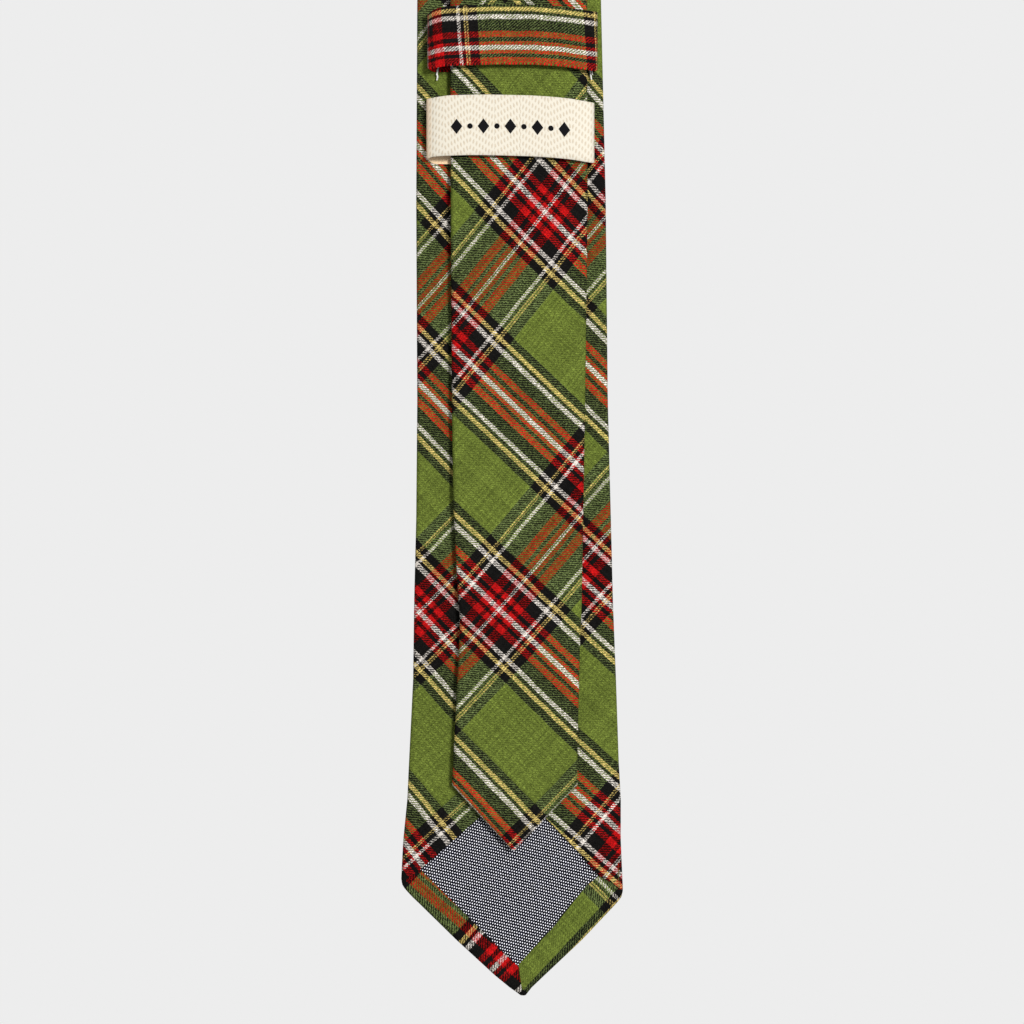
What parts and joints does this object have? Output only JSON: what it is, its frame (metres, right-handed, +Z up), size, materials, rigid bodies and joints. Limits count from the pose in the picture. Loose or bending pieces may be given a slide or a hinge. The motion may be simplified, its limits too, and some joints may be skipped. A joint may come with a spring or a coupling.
{
  "type": "necktie",
  "caption": "Slim tartan necktie hanging folded in half, with a flap-folded wide blade, lined point, keeper loop, tape loop and a tail that draws up out of both loops.",
  "frame": {"origin": "on the axis of the peg that fills the neck fold, at the middle of the band's width", "axes": "+Z up, +X along the peg across the tie, the wide blade hangs on the +Y side with its face to +Y, the tail hangs on the -Y side with its face to -Y"},
  "size_m": [0.065, 0.0202, 0.7692],
  "materials": {
    "tartan_cloth": "2/2 twill cotton tartan: olive green and black blocks with red, white and yellow lines",
    "wool_interlining": "brushed natural wool canvas",
    "dotted_lining": "grey navy oxford weave with small pale dots",
    "white_thread": "white cotton thread",
    "dark_thread": "dark green cotton thread",
    "cream_thread": "cream cotton thread",
    "herringbone_tape": "cream cotton herringbone twill tape",
    "black_ornament": "black woven ornament of lozenges and dots"
  },
  "bodies": {
    "blade": {"front_shell": "tartan_cloth", "front_interlining": "wool_interlining", "front_tipping": "dotted_lining", "front_tipping_stitches": "dark_thread", "front_slip_stitch": "white_thread", "front_bar_tack": "white_thread", "front_joining_seam": "dark_thread", "neck_gore": "tartan_cloth", "neck_interlining": "wool_interlining", "keeper_loop": "tartan_cloth", "keeper_stitches": "white_thread", "label_tape": "herringbone_tape", "label_motif": "black_ornament", "label_stitches": "cream_thread"},
    "tail_upper": {"neck_gore_tail_side": "tartan_cloth", "neck_interlining_tail_side": "wool_interlining", "tail_joining_seam": "dark_thread", "tail_shell_upper": "tartan_cloth", "tail_interlining_upper": "wool_interlining", "tail_slip_stitch_upper": "white_thread"},
    "tail_lower": {"tail_shell_middle": "tartan_cloth", "tail_interlining_middle": "wool_interlining", "tail_slip_stitch_middle": "white_thread"},
    "tail_end": {"tail_shell_end": "tartan_cloth", "tail_interlining_end": "wool_interlining", "tail_tipping": "dotted_lining", "tail_tipping_stitches": "dark_thread", "tail_slip_stitch_end": "white_thread", "tail_bar_tack": "white_thread"}
  },
  "joints": [
    {"name": "tail_swing", "type": "hinge", "parent": "blade", "child": "tail_upper", "pos_m": [0, -0.00658, -0.014], "axis": [-1, 0, 0], "range_deg": [0, 65]},
    {"name": "tail_knee", "type": "hinge", "parent": "tail_upper", "child": "tail_lower", "pos_m": [0, -0.00658, -0.2345], "axis": [-1, 0, 0], "range_deg": [-130, 0]},
    {"name": "tail_ankle", "type": "hinge", "parent": "tail_lower", "child": "tail_end", "pos_m": [0, -0.00658, -0.455], "axis": [-1, 0, 0], "range_deg": [0, 65]}
  ],
  "couplings": [
    {"joint": "tail_knee", "follows": "tail_swing", "ratio": -2},
    {"joint": "tail_ankle", "follows": "tail_swing", "ratio": 1}
  ]
}
